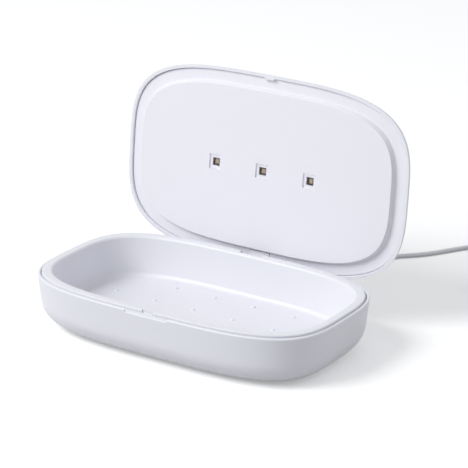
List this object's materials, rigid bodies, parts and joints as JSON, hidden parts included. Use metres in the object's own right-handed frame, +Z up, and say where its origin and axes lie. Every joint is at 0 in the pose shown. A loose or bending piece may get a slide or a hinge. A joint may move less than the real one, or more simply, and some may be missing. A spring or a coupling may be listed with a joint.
{
  "type": "uv sterilizer box",
  "caption": "White clamshell UV steriliser box, open, with UV emitters in its hinged lid, a start button and a coiled USB power lead.",
  "frame": {"origin": "centre of the open box's outline in plan, on the table under its feet", "axes": "+X along the long side, to the right seen from the front; +Z up; the front is at -Y and the hinge at +Y"},
  "size_m": [0.2252, 0.3111, 0.145],
  "materials": {
    "white_shell": "fine satin white moulding",
    "white_inner": "smooth satin white moulding",
    "white_cable": "soft white cable jacket",
    "grey_rubber": "matt grey rubber",
    "steel": "plain steel",
    "plated": "nickel plating",
    "board_green": "green circuit board",
    "dark_plastic": "black moulding",
    "quartz": "clear quartz",
    "ceramic": "emitter package",
    "light_grey": "light grey button"
  },
  "bodies": {
    "base": {"base_shell": "white_shell", "inner_tray": "white_inner", "foot_front_left": "grey_rubber", "foot_front_right": "grey_rubber", "foot_rear_left": "grey_rubber", "foot_rear_right": "grey_rubber", "base_screw_front_left": "steel", "base_screw_front_right": "steel", "base_screw_rear_left": "steel", "base_screw_rear_right": "steel", "hinge_bracket": "steel", "bracket_screw_left": "steel", "bracket_screw_right": "steel", "hinge_pin": "plated", "base_magnet_left": "plated", "base_magnet_right": "plated", "power_board": "board_green", "power_socket_shell": "plated", "power_socket_tongue": "dark_plastic", "base_lead": "grey_rubber", "device_plug_tip": "plated", "device_plug": "white_cable", "strain_relief": "white_cable", "cable_run": "white_cable", "cable_coil": "white_cable", "usb_plug_body": "white_cable", "usb_plug_shell": "plated", "usb_plug_tongue": "dark_plastic"},
    "lid": {"hinge_arm": "white_inner", "arm_screw_left": "steel", "arm_screw_right": "steel", "lid_shell": "white_shell", "lid_panel": "white_inner", "led_window_1": "quartz", "led_window_2": "quartz", "led_window_3": "quartz", "uv_led_1": "ceramic", "uv_led_2": "ceramic", "uv_led_3": "ceramic", "led_board": "board_green", "control_board": "board_green", "button_switch": "dark_plastic", "status_light_pipe": "quartz", "lid_magnet_left": "plated", "lid_magnet_right": "plated", "lid_lead": "grey_rubber"},
    "button": {"start_button": "light_grey"}
  },
  "joints": [
    {"name": "lid_hinge", "type": "hinge", "parent": "base", "child": "lid", "pos_m": [0, 0.04696, 0.02845], "axis": [1, 0, 0], "range_deg": [0, 95.4]},
    {"name": "start_button_press", "type": "slide", "parent": "lid", "child": "button", "axis": [0, -0.9956, 0.0941], "range_m": [0, 0.0005], "stiffness_N_per_m": 2000, "springref_m": -0.0002}
  ]
}
